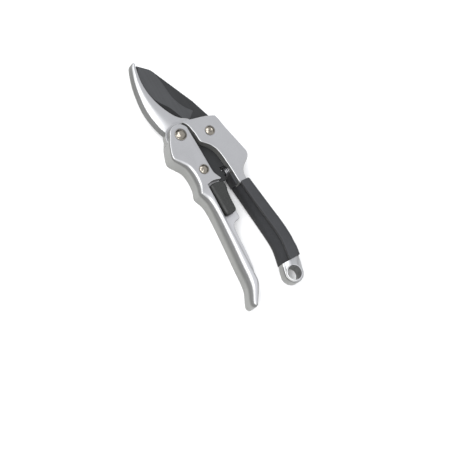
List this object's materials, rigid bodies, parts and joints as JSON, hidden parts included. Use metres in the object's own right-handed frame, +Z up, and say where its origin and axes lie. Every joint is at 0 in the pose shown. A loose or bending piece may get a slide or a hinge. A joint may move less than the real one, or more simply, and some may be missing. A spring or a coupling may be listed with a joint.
{
  "type": "pruning shears",
  "caption": "Ratchet bypass pruning shears with a hook jaw, dark coated blade, rubber grip on the upper handle, thumb lock and hanging hole, closed.",
  "frame": {"origin": "under the middle of the closed shears, on the surface that they lie on", "axes": "+X towards the jaws, +Y towards the lower handle, +Z up out of the front face"},
  "size_m": [0.2068, 0.0604, 0.0189],
  "materials": {
    "casting": "satin die-cast aluminium with a fine grain",
    "grip_rubber": "matte soft rubber",
    "coated_steel": "dark non-stick coating on ground steel, satin",
    "rivet_steel": "polished steel",
    "spring_steel": "bright drawn wire",
    "plain_steel": "plain hardened steel",
    "lock_plastic": "finely textured black plastic",
    "washer_plastic": "plain nylon"
  },
  "bodies": {
    "body": {"body_casting": "casting", "grip_sleeve": "grip_rubber", "stop_buffer": "grip_rubber", "blade_rivet": "rivet_steel", "blade_bush": "rivet_steel", "blade_washers": "washer_plastic", "main_bolt": "rivet_steel", "main_nut": "rivet_steel", "lock_washer": "rivet_steel", "pivot_washers": "washer_plastic", "opening_spring": "spring_steel"},
    "blade": {"blade": "coated_steel"},
    "lower_handle": {"lower_handle": "casting", "pawl_rivet": "rivet_steel", "pawl_spring": "spring_steel", "detent_ball": "rivet_steel", "detent_spring": "spring_steel"},
    "pawl": {"ratchet_pawl": "plain_steel"},
    "lock": {"thumb_lock": "lock_plastic", "lock_plate": "plain_steel", "lock_rivets": "rivet_steel"}
  },
  "joints": [
    {"name": "handle_open", "type": "hinge", "parent": "body", "child": "lower_handle", "pos_m": [0.0377, 0.0113, 0.0085], "axis": [0, 0, -1], "range_deg": [0, 40]},
    {"name": "blade_open", "type": "hinge", "parent": "body", "child": "blade", "pos_m": [0.0313, -0.0119, 0.0085], "axis": [0, 0, -1], "range_deg": [0, 22], "deforming": ["opening_spring"]},
    {"name": "pawl_swing", "type": "hinge", "parent": "lower_handle", "child": "pawl", "pos_m": [0.0063, 0.0089, 0.0085], "axis": [0, 0, -1], "range_deg": [-18, 0]},
    {"name": "lock_slide", "type": "slide", "parent": "lower_handle", "child": "lock", "axis": [-1, 0, 0], "range_m": [0, 0.008]}
  ],
  "couplings": [
    {"joint": "blade_open", "follows": "handle_open", "ratio": 0.55},
    {"joint": "pawl_swing", "follows": "handle_open", "ratio": -0.45}
  ]
}
